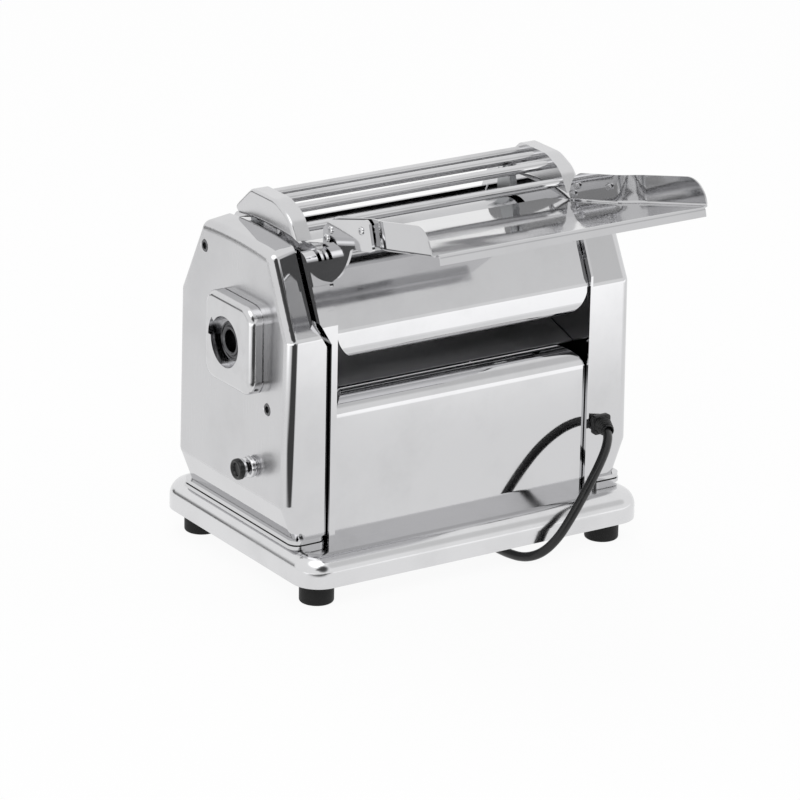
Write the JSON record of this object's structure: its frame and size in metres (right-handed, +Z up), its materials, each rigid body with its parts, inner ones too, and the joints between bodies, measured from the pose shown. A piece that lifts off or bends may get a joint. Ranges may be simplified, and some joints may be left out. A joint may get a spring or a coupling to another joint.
{
  "type": "electric pasta maker",
  "caption": "Countertop pasta sheeter: geared rollers between two polished end housings on a footed base, with a feed tray, barred guard, thickness dial and attachment socket.",
  "frame": {"origin": "on the surface it stands on, under the middle of its outline from tray lip to base back", "axes": "+X along the rollers, away from the attachment socket; -Y is the front; +Z up"},
  "size_m": [0.33, 0.4421, 0.3122],
  "materials": {
    "polished_steel": "mirror-polished stainless sheet",
    "satin_steel": "satin stainless sheet",
    "turned_steel": "ground and polished rollers and rods",
    "plain_steel": "zinc-plated inner parts",
    "cast_alloy": "polished cast boss",
    "gear_steel": "oiled gear steel",
    "bronze": "sintered bronze",
    "black_rubber": "matt",
    "black_plastic": "fine matt",
    "cord_sheath": "smooth sheath",
    "dial_face": "pale dial with plain numbers",
    "motor_paint": "dark enamel"
  },
  "bodies": {
    "body": {"base_tray": "polished_steel", "left_frame": "polished_steel", "right_frame": "polished_steel", "left_end_cover": "polished_steel", "right_end_cover": "polished_steel", "front_apron": "polished_steel", "rear_apron": "polished_steel", "front_panel": "polished_steel", "rear_panel": "polished_steel", "exit_slide": "polished_steel", "feed_tray": "polished_steel", "tray_arm_left": "polished_steel", "tray_arm_right": "polished_steel", "reset_bushing": "polished_steel", "left_sole_plates": "satin_steel", "right_sole_plates": "satin_steel", "guard_rest_posts": "turned_steel", "guard_hinge_pins": "turned_steel", "tray_screws": "turned_steel", "arm_bolts": "turned_steel", "cover_screws": "turned_steel", "plug_pins": "turned_steel", "base_floor_plate": "plain_steel", "foot_screws": "plain_steel", "tie_rods": "plain_steel", "hinge_brackets": "plain_steel", "motor_bracket": "plain_steel", "front_scraper": "plain_steel", "socket_boss": "cast_alloy", "frame_bushes": "bronze", "feet": "black_rubber", "sole_seals": "black_rubber", "switch_bezel": "black_plastic", "cord_gland": "black_plastic", "guard_sensor": "black_plastic", "plug_body": "black_plastic", "power_cord": "cord_sheath", "cord_coil": "cord_sheath", "cord_tail": "cord_sheath", "dial_plate": "dial_face", "motor_body": "motor_paint", "gearbox": "motor_paint"},
    "front_roller_set": {"front_roller": "turned_steel", "roller_drive_gear": "gear_steel", "front_sync_gear": "gear_steel"},
    "rear_roller_set": {"rear_roller": "turned_steel", "rear_sync_gear": "gear_steel"},
    "roller_carrier": {"bearing_blocks": "plain_steel", "rear_scraper": "plain_steel"},
    "drive_set": {"drive_shaft": "gear_steel", "drive_pinion": "gear_steel", "drive_gear": "gear_steel"},
    "motor_output": {"motor_pinion": "gear_steel"},
    "thickness_control": {"adjuster_shaft": "gear_steel", "thickness_knob": "black_plastic"},
    "guard": {"guard_cheek_left": "satin_steel", "guard_cheek_right": "satin_steel", "guard_bars": "turned_steel"},
    "rocker": {"switch_rocker": "black_plastic"},
    "reset": {"reset_button": "black_plastic"}
  },
  "joints": [
    {"name": "front_roller_spin", "type": "hinge", "parent": "body", "child": "front_roller_set", "pos_m": [0, 0.03125, 0.218], "axis": [1, 0, 0], "continuous": true},
    {"name": "thickness_turn", "type": "hinge", "parent": "body", "child": "thickness_control", "pos_m": [0.165, 0.09845, 0.19], "axis": [1, 0, 0], "range_deg": [0, 270]},
    {"name": "carrier_slide", "type": "slide", "parent": "body", "child": "roller_carrier", "axis": [0, 1, 0], "range_m": [0, 0.004]},
    {"name": "rear_roller_spin", "type": "hinge", "parent": "roller_carrier", "child": "rear_roller_set", "pos_m": [0, 0.07675, 0.218], "axis": [1, 0, 0], "continuous": true},
    {"name": "drive_spin", "type": "hinge", "parent": "body", "child": "drive_set", "pos_m": [-0.15, 0.04075, 0.18328], "axis": [1, 0, 0], "continuous": true},
    {"name": "motor_output_spin", "type": "hinge", "parent": "body", "child": "motor_output", "pos_m": [-0.12, 0.069, 0.13725], "axis": [1, 0, 0], "continuous": true},
    {"name": "guard_hinge", "type": "hinge", "parent": "body", "child": "guard", "pos_m": [0, 0.0895, 0.2646], "axis": [-1, 0, 0], "range_deg": [0, 90]},
    {"name": "switch_rock", "type": "hinge", "parent": "body", "child": "rocker", "pos_m": [0.14587, 0.024, 0.11795], "axis": [0, -1, 0], "range_deg": [0, 16]},
    {"name": "reset_press", "type": "slide", "parent": "body", "child": "reset", "axis": [1, 0, 0], "range_m": [0, 0.0025], "stiffness_N_per_m": 300, "springref_m": -0.002}
  ],
  "couplings": [
    {"joint": "thickness_turn", "follows": "carrier_slide", "rad_per_m": 1178.1},
    {"joint": "rear_roller_spin", "follows": "front_roller_spin", "ratio": -1},
    {"joint": "drive_spin", "follows": "front_roller_spin", "ratio": -2},
    {"joint": "motor_output_spin", "follows": "front_roller_spin", "ratio": 10}
  ]
}
